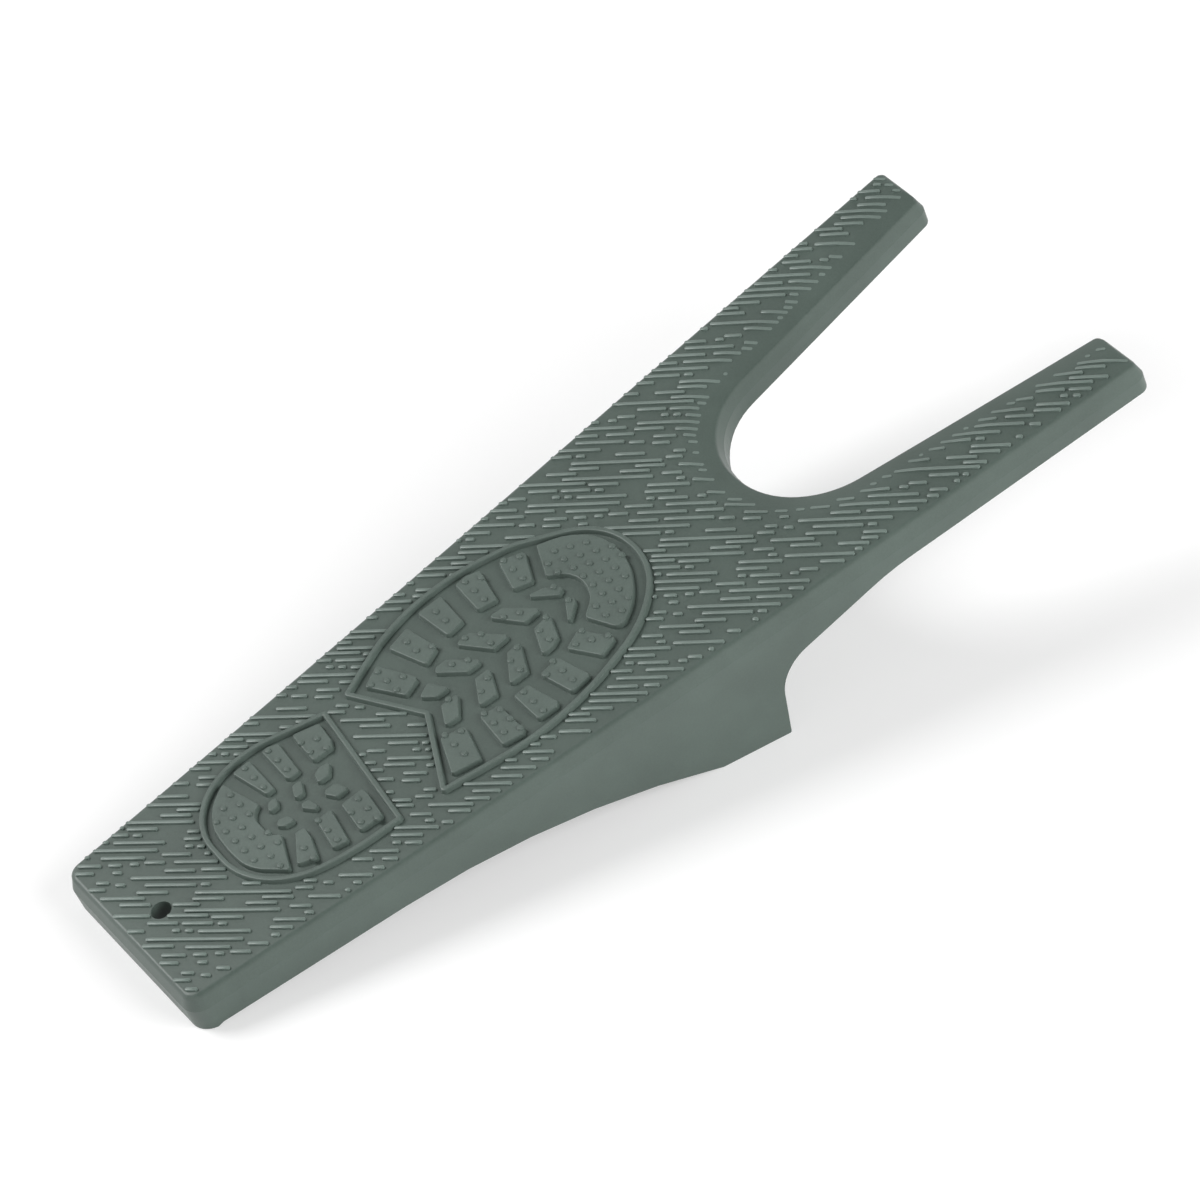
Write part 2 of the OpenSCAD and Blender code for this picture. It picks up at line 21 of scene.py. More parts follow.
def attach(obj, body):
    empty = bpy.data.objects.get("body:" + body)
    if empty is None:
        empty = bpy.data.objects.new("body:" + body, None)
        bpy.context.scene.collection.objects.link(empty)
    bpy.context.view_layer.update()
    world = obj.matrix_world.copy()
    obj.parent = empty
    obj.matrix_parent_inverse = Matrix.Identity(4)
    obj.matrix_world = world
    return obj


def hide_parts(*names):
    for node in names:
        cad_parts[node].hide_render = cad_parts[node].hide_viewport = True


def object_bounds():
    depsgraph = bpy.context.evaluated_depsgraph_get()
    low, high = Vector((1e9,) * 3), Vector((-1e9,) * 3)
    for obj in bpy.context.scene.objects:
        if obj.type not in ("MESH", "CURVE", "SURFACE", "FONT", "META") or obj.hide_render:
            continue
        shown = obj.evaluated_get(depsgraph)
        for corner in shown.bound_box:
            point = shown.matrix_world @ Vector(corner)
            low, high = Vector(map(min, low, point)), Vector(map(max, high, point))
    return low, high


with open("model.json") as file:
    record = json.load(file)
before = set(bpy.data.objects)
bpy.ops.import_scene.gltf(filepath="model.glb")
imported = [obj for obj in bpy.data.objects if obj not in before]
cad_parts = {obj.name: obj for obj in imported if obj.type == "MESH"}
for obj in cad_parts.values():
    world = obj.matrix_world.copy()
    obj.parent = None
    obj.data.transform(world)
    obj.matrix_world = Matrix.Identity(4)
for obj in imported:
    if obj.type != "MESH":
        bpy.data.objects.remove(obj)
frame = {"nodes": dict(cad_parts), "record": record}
cad_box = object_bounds()

bl_info = {
    "name": "Boot Jack Looks",
    "version": (1, 0, 0),
    "blender": (4, 5, 0),
    "location": "3D View > Sidebar > Boot Jack",
    "description": "Grip bars, moulded finish and stage of a boot jack",
    "category": "Object",
}

MM = 0.001

# Deck layout
# The deck frame has x along the deck from its rear edge, y to the left and z
# square to the deck. These sizes in mm are the ones that the CAD was drawn with.
DECK_L = 336.0
BEND_X = 230.0
REAR_HALF, BEND_HALF, TIP_HALF = 36.2, 57.2, 65.2
REAR_CORNER_R = 5.0
DECK_BOW = 1.7
PARTING_DROP = 5.3
HOLE_X, HOLE_R = 13.0, 3.25
SLOT_X, SLOT_R = 229.5, 30.0
MOUTH_HALF = 45.25
SLOT_ANGLE = math.radians(10.1)
RIM_HALF = 1.05

# The band of faces along the slot's edge, rubbed by boots, that gets the edges' painted
# highlight: its middle, its half width and the least and most that they face up. Faces
# that face up less than WALL_UP belong to the walls, whose lighter colour is painted
# light. An edge this close to the parting line stays sharp.
SLOT_EDGE_AT, SLOT_EDGE_HALF = 0.4, 0.62
EDGE_UP = (0.12, 0.96)
WALL_UP = 0.35
PARTING_REACH = 0.08

# A relief rises from below the deck in rings: how far a ring lies outside the drawn
# outline, its height, and 0 for plain plastic or 1 for a rubbed edge with a painted
# highlight up to it
RELIEF_STEPS = ((0.12, -0.3, 0), (-0.26, 1.26, 0), (-0.31, 1.43, 1), (-0.43, 1.55, 1),
                (-0.58, 1.6, 1))

# Both treads are drawn from their middles. A corner is given along, across and by its
# radius. A stud stands at each listed half spacing of its line across the tread, where
# it has room on a lug, and its foot and top are shares of its diameter.
LUG_R = 1.2
RELIEF_H = 1.6
STUD_H, STUD_D, STUD_SUNK = 0.7, 2.0, 0.4
STUD_FOOT, STUD_TOP, STUD_ROUNDING = 0.53, 0.43, 0.16
STUD_SIDES = 14
STUD_ROOM = 0.2
HEEL_X, FOREFOOT_X = 62.0, 144.0
HEEL_RIM = [
    (27, 23.4, 0.5), (1.5, 31, 39), (-25, 24.5, 28), (-26.3, -20.2, 26),
    (2.5, -28.2, 80), (20.2, -29, 0.8)]
HEEL_REAR_LUG = [
    (-9.8, 25.5, 1), (-21.4, 18.3, 21), (-23, 1.6, 42), (-22.7, -9.2, 16.5),
    (-13.5, -20, 1), (-7.7, -5.5, 1.5), (-10.4, -3.8, 5), (-10.3, 7, 6), (-6.2, 9.1, 1.4)]
HEEL_LUGS = [
    [(-3, 10.5), (0.5, 10.5), (1, 26.5), (-6, 26.5)],
    [(4.5, 11.5), (5.5, 10), (9.5, 10), (11, 25), (7.5, 26.5), (5, 26.5)],
    [(14, 10), (21.5, 10), (23, 13), (24, 21.5), (15, 24.5)],
    [(-5, -22.5), (-2, -13.5), (-1.5, -9), (-5, -8.5), (-11.5, -19.5)],
    [(-0.5, -23), (5, -24.5), (8, -9.5), (2, -9.5)],
    [(9, -24), (17.5, -24.5), (19, -14), (19, -10.5), (10.5, -10.5)]]
HEEL_PEBBLES = [
    [(-7, 3.7), (-2.6, 3.9), (-0.6, 8.2), (-4.4, 7.8)],
    [(1.7, 2), (5.6, 1.9), (8.2, 7.6), (4.2, 7.5)],
    [(10.2, 1.5), (14.8, 1.5), (18.2, 6.4), (13.8, 7), (11.3, 5.6)],
    [(-7.8, -2.2), (-5.6, -4.4), (-1.4, -5.1), (-2.8, -1.2), (-5.8, -0.1)],
    [(1.4, -2.4), (4, -6.2), (6.2, -6.1), (5.3, -1.2), (2.8, -0.3)],
    [(9.2, -3.6), (11.3, -7.4), (16.3, -7.4), (14.3, -2), (10.4, -2)]]
HEEL_STUDS = ((-19.3, 2.9), (4.35, 2.7), [
    [4, 2, 0, -2, -4], [5, 3, 1, -1, -3, -5, -7], [6, 4, 2, -2, -4], [-7, -9],
    [8, 6, 4], [-5, -7, -9], [8, 6, 4], [-7, -9], [6, 4, -6, -8, -10], [5, 3]])
FOREFOOT_RIM = [
    (-46, 24.2, 0.5), (-33.4, -2, 0.5), (-46.7, -30.6, 0.5), (-6.6, -38, 90),
    (31.5, -25.8, 54), (48, -8.5, 35), (46.7, 17.4, 28), (22.6, 32.3, 23),
    (-11, 42.2, 66)]
TOE_LUG = [
    (27.3, 26.3, 0.8), (21.8, 12.9, 1.8), (29.3, 8, 10.5), (27.3, -4.3, 11.5),
    (20.4, -9.8, 2.3), (25.6, -22.9, 3), (35.2, -17, 28), (44.4, -1.3, 27.5),
    (42.7, 19.7, 20)]
FOREFOOT_LUGS = [
    [(-34, 8.5), (-28, 11), (-27.5, 13), (-33.5, 26.5), (-41, 22)],
    [(-23, 13.5), (-17, 16.5), (-16.5, 19), (-18.5, 31.5), (-27.5, 29)],
    [(-12, 18), (-5, 19), (-4, 33.5), (-13.5, 33.5)],
    [(0, 19), (7, 17.5), (10, 32), (5.5, 34), (1, 33.5)],
    [(12, 17), (18.5, 14.5), (23.5, 26), (23, 27.5), (15.5, 30.5)],
    [(-42, -28), (-32, -30.5), (-28.5, -17.5), (-28.5, -15.3), (-36.4, -13.2)],
    [(-25, -31), (-18, -32.5), (-16.5, -31), (-16.5, -16.9), (-23.6, -15.9)],
    [(-12, -31.5), (-5, -32), (-3.5, -30.5), (-6, -17.5), (-12, -17.5)],
    [(1, -31), (8.5, -30), (9, -29), (6.2, -15.9), (-1.8, -17.2)],
    [(15.5, -27), (22, -24.5), (22.5, -23), (16.5, -12), (9.5, -15.5)],
    [(-16, 1), (-11, 1), (-10.4, 2.6), (-17.5, 11), (-21.5, 11), (-23.3, 9)],
    [(-5.5, 2), (0.5, 2.5), (1, 4), (-6.5, 14), (-10.5, 14), (-12.5, 13)],
    [(7, 3), (13, 3.3), (13.3, 5), (6, 14), (0, 14.6)],
    [(20.5, 3.3), (23.8, 5.3), (19.5, 10), (14.8, 11.6), (13.6, 10.4)],
    [(-33, -11), (-27.5, -11.5), (-22, -2.8), (-29, -2.8)],
    [(-21.5, -13), (-14.5, -13.5), (-10, -2.5), (-16, -2.5)],
    [(-10.5, -13.5), (-3, -13.5), (2.3, -1.2), (-3.5, -2)],
    [(3, -12), (8, -11.5), (11, -10), (14.2, -1), (13.3, 0.2), (7.5, -0.8)],
    [(17.5, -7.5), (22.5, -3), (24, 0), (20, 0), (16, -7)]]
FOREFOOT_PEBBLES = [[(-28, 0.5), (-24, 0.5), (-23, 1), (-26.5, 8), (-32, 5)]]
FOREFOOT_STUDS = ((-39, -0.6), (4.3, 2.675), [
    [8], [9, 7, 5, -5, -7, -9], [6, -6], [-1], [10, 8, -6, -8, -10],
    [7, 3, -3, -7, -9, -11], [2, -2], [11, 9, 5, -7, -9, -11], [4, 2, -2, -4],
    [-1, -7], [12, 10, 8, 4, -6, -8, -10], [11, 3, -1, -3], [0, -6],
    [11, 9, 7, -5, -7], [10, 3, 0, -8]])
TOE_STUDS = ((25.5, 3.5), (4.3, 2.6), [
    [5, 3, -5, -7], [6, 4, 2, 0, -2, -4, -6, -8], [5, 3, 1, -1, -3, -5, -7],
    [4, 2, 0, -2, -4], [1, -1]])

# The grip bars repeat in square tiles, and run along a diagonal of their tile. Each bar
# is given by its place across the bars and by where it starts and ends along them, in
# mm, as measured on the photograph.
TILE = 48.0
BARS = [
    (33.68, 34.51, 38.69), (33.00, 14.57, 24.80), (32.90, 1.12, 4.11),
    (32.88, 40.99, 44.11), (32.71, 50.65, 67.48), (31.09, 32.15, 37.94),
    (29.91, 48.47, 58.76), (29.71, -0.31, 31.02), (27.72, 36.88, 51.53),
    (27.70, 21.99, 32.15), (27.37, -0.69, 9.53), (25.58, 16.95, 27.17),
    (25.30, 43.74, 53.89), (25.29, 59.56, 69.85), (24.19, 31.46, 38.38),
    (22.98, -2.55, 28.53), (21.77, 36.64, 39.63), (21.07, 42.18, 73.46),
    (20.39, 6.73, 16.95), (19.18, 26.98, 41.49), (18.26, 54.14, 64.11),
    (18.13, -2.43, 7.60), (18.00, 9.22, 12.15), (16.39, 26.36, 36.64),
    (15.53, 62.68, 65.24), (15.45, -0.94, 1.56), (15.35, 47.60, 53.64),
    (15.16, 3.30, 20.32), (13.91, 44.55, 47.47), (13.56, 27.22, 29.97),
    (13.45, 31.28, 41.36), (12.21, -13.15, 18.38), (10.66, 34.20, 51.22),
    (10.44, 20.19, 29.72), (9.75, 54.02, 64.24), (9.23, 0.25, 14.76),
    (7.72, 44.48, 54.02), (7.52, 24.80, 41.62), (7.44, 15.01, 21.68),
    (6.88, 10.28, 13.15), (6.51, 3.24, 7.54), (6.28, 60.93, 68.79),
    (4.59, 34.20, 51.09), (4.26, 22.18, 32.21), (4.08, 52.78, 58.07),
    (3.64, 5.17, 8.28), (3.43, 60.81, 66.86), (1.51, 11.58, 43.12)]

# The rows of the projective map from the tiles to the deck, in mm, which was fitted to
# the photograph. It makes the tiles a little shorter along the deck than across.
TILE_TO_DECK = ((0.944204, -0.0002517, -41.0314), (0.00067405, 1.0377, -24.899),
                (1.30519e-4, 1.7294e-5, 1))
TILE_COLUMNS, TILE_ROWS = range(9), range(-2, 4)

# A bar is followed in steps and cut where it leaves the free deck. What remains is kept
# from SHORTEST_BAR up. Bars that start and end beyond SIDE_REACH are off the deck.
SIDE_REACH = 72.0
SCAN_STEP = 0.25
SHORTEST_BAR = 1.2
HOLE_MARGIN, RIM_MARGIN = 0.3, 0.1

# A bar reaches below the deck, bends with it in stretches, has its corners cut by a
# share of its width, and keeps a trace of its height where it has sunk away.
# RAY_START is how high above the deck its ground is looked for.
BAR_SUNK, BAR_STRETCH, BAR_CORNER, BAR_TRACE = 0.25, 4.0, 0.3, 0.02
RAY_START = 20.0

# An edge shades sharp where the surface turns by more than this, in degrees
DECK_SHARP, TREAD_SHARP, BAR_SHARP = 36, 42, 40

# Name and roughness of each finish of the one plastic. Their colours hold painted light
# and shade: the deck darker as painted shade, the walls and the bars lighter as painted
# light, and the edges pale as a painted highlight on rubbed edges
FINISHES = {
    "deck": ("satin moulded polypropylene, deck", 0.42),
    "walls": ("satin moulded polypropylene, walls", 0.42),
    "bars": ("satin moulded polypropylene, bars", 0.39),
    "tread": ("satin moulded polypropylene, treads", 0.4),
    # The edges' pale colour is a painted highlight
    "edges": ("moulded polypropylene, edges polished by boots", 0.28),
    "ribs": ("plain moulded polypropylene, ribs", 0.48)}
LIGHTER, DARKER = 1.16, 0.86
SHEEN_SPREAD = 0.05
GRAIN_DEPTH, GRAIN_STRENGTH = 0.05, 0.35
SPECKLE_SHARE = 0.4
NOISE_LOW, NOISE_HIGH = 0.3, 0.7
REFRACTION = 1.49

# Stage: the lamps hang this way from the middle of the jack, in metres
KEY_WAY, KEY_SIZE = (-0.8, 0.9, 1.15), 0.9
FILL_WAY, FILL_SIZE = (0.6, -1.25, 0.75), 1.2
PAPER_SHADE, PAPER_GLOW, GLOW_SHARE = 0.9, 1.25, 0.29
FLOOR_DROP = 0.2
WALL_TOP, CEILING_FROM = math.radians(18), math.radians(48)

# The photograph's camera: its place in metres and its directions to the right, up and
# back
CAMERA_LENS, CAMERA_SENSOR = 173.96, 36
CAMERA_PLACE = (-0.55348, -1.1688, 1.18035)
CAMERA_RIGHT = (0.8174, -0.5523, -0.16398)
CAMERA_UP = (0.47657, 0.4884, 0.731)
CAMERA_BACK = (-0.32369, -0.6756, 0.66239)
CAMERA_CLIP = (0.05, 50)


# Settings
def colour(code):
    """The linear RGBA of an sRGB hex colour."""
    parts = [int(code[i:i + 2], 16) / 255 for i in (1, 3, 5)]
    return (*[c / 12.92 if c <= 0.04045 else ((c + 0.055) / 1.055) ** 2.4
              for c in parts], 1.0)


def length(name, description, mm):
    return FloatProperty(name=name, description=description, default=mm * MM,
                         min=0.0, unit="LENGTH", precision=5)


def shade(name, description, code):
    return FloatVectorProperty(name=name, description=description, subtype="COLOR",
                               size=4, min=0.0, max=1.0, default=colour(code))


class GripSettings(bpy.types.PropertyGroup):
    """Sizes of the raised bars on the deck."""

    width: length("Bar width", "Width of a bar at its foot", 1.15)
    height: length("Bar height", "Height of a bar above the deck", 0.72)
    rounding: length("Bar rounding", "Rounding of a bar's top edges", 0.18)
    near_margin: length("Right margin", "Bare strip along the right edge", 2.3)
    margin: length("Margin", "Bare strip along the other edges", 1.2)
    fade_from: length("Fade from", "Distance from the slot where bars start to sink",
                      11.5)
    fade_to: length("Fade to", "Distance from the slot where bars are gone", 5.5)


class FinishSettings(bpy.types.PropertyGroup):
    """Colours, grain and clouds of the moulded plastic."""

    # The deck's colour is darker as painted shade on the top and between the bars; the
    # walls' and the bars' colours are lighter as painted light
    deck: shade("Deck", "Colour of the deck between its bars", "#4d5953")
    walls: shade("Walls", "Colour of the skirt and of the slot's wall", "#5a6760")
    bars: shade("Bars", "Colour of the grip bars", "#697670")
    tread: shade("Treads", "Colour of the lugs and rims", "#55615b")
    # The edges' pale colour is a painted highlight on rubbed edges
    edges: shade("Edges", "Colour of the rubbed edges, painted light as their highlight", "#b4c0b9")
    ribs: shade("Ribs", "Colour of the foot and of the ribs", "#5c6962")
    grain: length("Grain", "Size of the grain of the mould's surface", 0.6)
    cloud: length("Cloud", "Size of the soft clouds in the colour", 22.0)


class StageSettings(bpy.types.PropertyGroup):
    """Lamps, surroundings and floor."""

    wall: FloatProperty(name="Wall", description="Brightness of the white wall around",
                        default=1.0, min=0.0)
    ceiling: FloatProperty(name="Ceiling", description="Brightness of the ceiling",
                           default=0.1, min=0.0)
    key: FloatProperty(name="Key lamp", description="Power of the lamp at the left",
                       default=20.0, min=0.0, unit="POWER")
    fill: FloatProperty(name="Fill lamp", description="Power of the lamp at the right",
                        default=20.0, min=0.0, unit="POWER")
    floor: length("Floor", "Side of the floor", 12000)


# Helpers
def deck_place():
    """The matrix from the deck frame to the row frame, from the hanging hole."""
    hole = next(m for m in frame["record"]["mounts"] if m["name"] == "hanging_hole")
    up = Vector(hole["axis"]).normalized()
    left = Vector((0, 1, 0))
    along = left.cross(up)
    turned = Matrix((along, left, up)).transposed()
    place = turned.to_4x4()
    at_hole = Vector((HOLE_X, 0, deck_z(HOLE_X))) * MM
    place.translation = Vector(hole["pos_m"]) - turned @ at_hole
    return place


def deck_z(x):
    """Height of the deck's long shallow hollow, in mm."""
    return -4 * DECK_BOW * (x / DECK_L) * (1 - x / DECK_L)


def add_piece(name, mesh, nodes=()):
    """Links a finished mesh as a piece of the object."""
    piece = bpy.data.objects.new(name, mesh)
    bpy.context.scene.collection.objects.link(piece)
    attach(piece, "root")
    if nodes:
        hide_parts(*nodes)
    return piece


def joined_cad(name):
    """A bmesh of this CAD node with its triangles joined up."""
    made = bmesh.new()
    made.from_mesh(frame["nodes"][name].data)
    bmesh.ops.remove_doubles(made, verts=made.verts, dist=0.0005 * MM)
    return made


def soften(made, degrees, keep_sharp=None):
    """Shades smooth, with a sharp edge where the surface turns by more than that."""
    for face in made.faces:
        face.smooth = True
    for edge in made.edges:
        turn = edge.calc_face_angle(math.pi)
        edge.smooth = turn < math.radians(degrees) and not (
            keep_sharp and keep_sharp(edge))


def weigh_normals(piece):
    """Lets the broad faces rule the shading of the roundings beside them."""
    weigh = piece.modifiers.new("broad faces first", "WEIGHTED_NORMAL")
    weigh.keep_sharp = True
    weigh.weight = 80


# Materials
def add(tree, kind, settings=None, inputs=None):
    """Adds a node with its settings, and its inputs as values or links."""
    made = tree.nodes.new(kind)
    for name, value in (settings or {}).items():
        setattr(made, name, value)
    for name, value in (inputs or {}).items():
        socket = made.inputs[name]
        if isinstance(value, bpy.types.NodeSocket):
            tree.links.new(value, socket)
        else:
            socket.default_value = value
    return made


def moulded_polypropylene(name, base, roughness, grain, cloud):
    """Injection moulded polypropylene: satin, slightly waxy, with the mould's grain."""
    material = bpy.data.materials.new(name)
    material.use_nodes = True
    tree = material.node_tree
    tree.nodes.clear()
    place = add(tree, "ShaderNodeTexCoord").outputs["Object"]
    # Soft clouds in the colour, as where the melt flowed
    flow = add(tree, "ShaderNodeTexNoise", None,
               {"Vector": place, "Scale": 1 / cloud, "Detail": 3.0, "Roughness": 0.55})
    # Fine speckle of the spark-eroded mould
    speckle = add(tree, "ShaderNodeTexNoise", None,
                  {"Vector": place, "Scale": 1 / grain, "Detail": 2.0, "Roughness": 0.6})
    both = add(tree, "ShaderNodeMix", {"data_type": "FLOAT"},
               {"Factor": SPECKLE_SHARE, "A": flow.outputs["Fac"],
                "B": speckle.outputs["Fac"]})
    lighter = [min(1.0, c * LIGHTER) for c in base[:3]] + [1.0]
    darker = [c * DARKER for c in base[:3]] + [1.0]
    tint = add(tree, "ShaderNodeValToRGB", None, {"Fac": both.outputs["Result"]})
    tint.color_ramp.elements[0].position = NOISE_LOW
    tint.color_ramp.elements[0].color = darker
    tint.color_ramp.elements[1].position = NOISE_HIGH
    tint.color_ramp.elements[1].color = lighter
    sheen = add(tree, "ShaderNodeMapRange", None,
                {"Value": speckle.outputs["Fac"], "From Min": NOISE_LOW,
                 "From Max": NOISE_HIGH, "To Min": roughness - SHEEN_SPREAD,
                 "To Max": roughness + SHEEN_SPREAD})
    bump = add(tree, "ShaderNodeBump", None,
               {"Height": speckle.outputs["Fac"], "Strength": GRAIN_STRENGTH,
                "Distance": GRAIN_DEPTH * MM})
    surface = add(tree, "ShaderNodeBsdfPrincipled", None,
                  {"Base Color": tint.outputs["Color"], "IOR": REFRACTION,
                   "Roughness": sheen.outputs["Result"],
                   "Normal": bump.outputs["Normal"]})
    add(tree, "ShaderNodeOutputMaterial", None, {"Surface": surface.outputs["BSDF"]})
    return material


def finish_with(piece, *materials):
    piece.data.materials.clear()
    for material in materials:
        piece.data.materials.append(material)


def plastic(which):
    """The plastic in one of its finishes, made at its first use."""
    name, roughness = FINISHES[which]
    found = bpy.data.materials.get(name)
    if found:
        return found
    finish = bpy.context.scene.boot_jack_finish
    return moulded_polypropylene(name, tuple(getattr(finish, which)), roughness,
                                 finish.grain, finish.cloud)


# The deck
class BOOT_JACK_OT_deck(bpy.types.Operator):
    """Shades the deck and its skirt as one moulding, sharp along the parting line"""

    bl_idname = "boot_jack.deck"
    bl_label = "Deck"

    def execute(self, context):
        to_deck = deck_place().inverted()
        made = joined_cad("deck_shell")

        def on_parting_line(edge):
            for vert in edge.verts:
                at = to_deck @ vert.co / MM
                if abs(at.z - deck_z(at.x) + PARTING_DROP) > PARTING_REACH:
                    return False
            return True

        soften(made, DECK_SHARP, on_parting_line)
        middles = np.array([to_deck @ f.calc_center_median() / MM for f in made.faces])
        near = np.abs(slot_distance(middles) - SLOT_EDGE_AT) < SLOT_EDGE_HALF
        # Faces in the slot's edge band get the painted highlight, faces turned sideways
        # the walls' lighter colour as painted light, and the rest the deck's darker colour
        # as painted shade
        for face, close in zip(made.faces, near):
            up = (to_deck.to_3x3() @ face.normal).z
            if close and EDGE_UP[0] < up < EDGE_UP[1]:
                face.material_index = 1
            elif up < WALL_UP:
                face.material_index = 2
        mesh = bpy.data.meshes.new("deck")
        made.to_mesh(mesh)
        made.free()
        deck = add_piece("deck", mesh, ["deck_shell"])
        weigh_normals(deck)
        finish_with(deck, plastic("deck"), plastic("edges"), plastic("walls"))
        return {"FINISHED"}


# The treads
def rounded_path(middle, corners, steps=12):
    """Points of a closed path whose corners are rounded, in mm."""
    spots = [Vector((x + middle, y)) for x, y, _ in corners]
    count = len(corners)
    turns = []
    for i in range(count):
        before = (spots[i] - spots[i - 1]).normalized()
        after = (spots[(i + 1) % count] - spots[i]).normalized()
        turn = math.atan2(before.cross(after), before.dot(after))
        turns.append((before, after, turn))
    wanted = [corners[i][2] * math.tan(abs(turns[i][2]) / 2) for i in range(count)]

    def share(k):
        room = (spots[(k + 1) % count] - spots[k]).length
        return 0.98 * room / max(wanted[k] + wanted[(k + 1) % count], 0.01)

    path = []
    for i in range(count):
        before, after, turn = turns[i]
        run = wanted[i] * min(1, share(i), share(i - 1))
        radius = run / math.tan(abs(turn) / 2) * math.copysign(1, turn)
        start = spots[i] - before * run
        side = Vector((-before.y, before.x))
        centre = start + side * radius
        for j in range(steps + 1):
            angle = turn * j / steps
            arm = -side * radius
            path.append(centre + Vector((
                arm.x * math.cos(angle) - arm.y * math.sin(angle),
                arm.x * math.sin(angle) + arm.y * math.cos(angle))))
    return np.array([tuple(p) for p in path])


def moved(corners, out):
    """The corners of a path that runs at a distance outside the first one, in mm."""
    made = []
    for i, (x, y, radius) in enumerate(corners):
        spot = Vector((x, y))
        before = (spot - Vector(corners[i - 1][:2])).normalized()
        after = (Vector(corners[(i + 1) % len(corners)][:2]) - spot).normalized()
        side = Vector((before.y, -before.x))
        both = side + Vector((after.y, -after.x))
        turn = math.copysign(1, before.cross(after))
        x, y = spot + both / both.dot(side) * out
        made.append((x, y, max(radius + turn * out, 0.3)))
    return made


def with_radius(points):
    """The corners of a lug that has the common corner radius."""
    return [(x, y, LUG_R) for x, y in points]


def add_ring(made, path, height):
    """The points of a closed path at a height above the deck, in mm."""
    return [made.verts.new((x, y, height)) for x, y in path]


def bridge(made, low, high, worn_and_highlit):
    """Joins two rings point by point, with the edges' painted highlight where the step has
    it.
    """
    count = len(low)
    for i in range(count):
        j = (i + 1) % count
        face = made.faces.new((low[i], low[j], high[j], high[i]))
        face.material_index = worn_and_highlit


def raise_lug(made, middle, corners):
    """A lug with a rounded outline, standing on the deck."""
    rings = [add_ring(made, rounded_path(middle, moved(corners, out), steps=6), height)
             for out, height, _ in RELIEF_STEPS]
    for low, high, (_, _, worn_and_highlit) in zip(rings, rings[1:], RELIEF_STEPS[1:]):
        bridge(made, low, high, worn_and_highlit)
    made.faces.new(rings[0][::-1])
    made.faces.new(rings[-1])


def raise_rim(made, middle, corners):
    """A narrow rim along a closed path, standing on the deck."""
    def ring(side, out, height):
        path = rounded_path(middle, moved(corners, side * (RIM_HALF + out)), steps=14)
        return add_ring(made, path, height)

    flanks = [[ring(side, out, height) for out, height, _ in RELIEF_STEPS]
              for side in (1, -1)]
    for rings in flanks:
        for low, high, (_, _, worn_and_highlit) in zip(rings, rings[1:], RELIEF_STEPS[1:]):
            bridge(made, low, high, worn_and_highlit)
    (outer_foot, *_, outer_top), (inner_foot, *_, inner_top) = flanks
    bridge(made, outer_top, inner_top, 0)
    bridge(made, outer_foot, inner_foot, 0)


def raise_studs(made, middle, studs, lugs):
    """The studs of one tread, on those of its places that lie on a lug."""
    (x, y), (step, half_step), rows = studs
    spots = np.array([(middle + x + i * step, y + place * half_step)
                      for i, row in enumerate(rows) for place in row])
    on_lug = np.max([depth_inside(spots, rounded_path(middle, lug, steps=4))
                     for lug in lugs], axis=0) > STUD_ROOM
    rims = []
    for along, across in spots[on_lug]:
        low, high = RELIEF_H - STUD_SUNK, RELIEF_H + STUD_H
        cone = bmesh.ops.create_cone(
            made, cap_ends=True, cap_tris=False, segments=STUD_SIDES,
            radius1=STUD_FOOT * STUD_D, radius2=STUD_TOP * STUD_D, depth=high - low,
            matrix=Matrix.Translation((along, across, (low + high) / 2)))
        top = max({f for v in cone["verts"] for f in v.link_faces},
                  key=lambda f: f.calc_center_median().z)
        rims += list(top.edges)
        # The stud's top and its rounded rim take the edges' pale colour, a painted
        # highlight
        top.material_index = 1
    ring = bmesh.ops.bevel(made, geom=rims, offset=STUD_ROUNDING, segments=1,
                           affect="EDGES", profile=0.5, material=-1,
                           clamp_overlap=True)["faces"]
    for face in ring:
        face.material_index = 1


class BOOT_JACK_OT_treads(bpy.types.Operator):
    """Raises the rims, lugs and studs of the heel and the forefoot"""

    bl_idname = "boot_jack.treads"
    bl_label = "Treads"

    def execute(self, context):
        self.raise_tread(
            "heel_tread", ["heel_rim", "heel_lugs"], HEEL_X, HEEL_RIM,
            [([HEEL_REAR_LUG, *map(with_radius, HEEL_LUGS)], HEEL_STUDS)],
            HEEL_PEBBLES)
        self.raise_tread(
            "forefoot_tread", ["forefoot_rim", "forefoot_lugs", "toe_lug"], FOREFOOT_X,
            FOREFOOT_RIM, [(list(map(with_radius, FOREFOOT_LUGS)), FOREFOOT_STUDS),
                           ([TOE_LUG], TOE_STUDS)], FOREFOOT_PEBBLES)
        return {"FINISHED"}

    def raise_tread(self, name, nodes, middle, rim, studded, pebbles):
        """One tread: its rim, its bare pebbles, and its lugs with their studs."""
        made = bmesh.new()
        raise_rim(made, middle, rim)
        for lug in map(with_radius, pebbles):
            raise_lug(made, middle, lug)
        for lugs, studs in studded:
            for lug in lugs:
                raise_lug(made, middle, lug)
            raise_studs(made, middle, studs, lugs)
        bmesh.ops.recalc_face_normals(made, faces=made.faces)
        for vert in made.verts:
            vert.co.z += deck_z(vert.co.x)
        bmesh.ops.transform(made, verts=made.verts,
                            matrix=deck_place() @ Matrix.Scale(MM, 4))
        soften(made, TREAD_SHARP)
        mesh = bpy.data.meshes.new(name)
        made.to_mesh(mesh)
        made.free()
        tread = add_piece(name, mesh, nodes)
        weigh_normals(tread)
        # The crowns of the lugs and rims take the edges' pale colour, a painted highlight
        finish_with(tread, plastic("tread"), plastic("edges"))


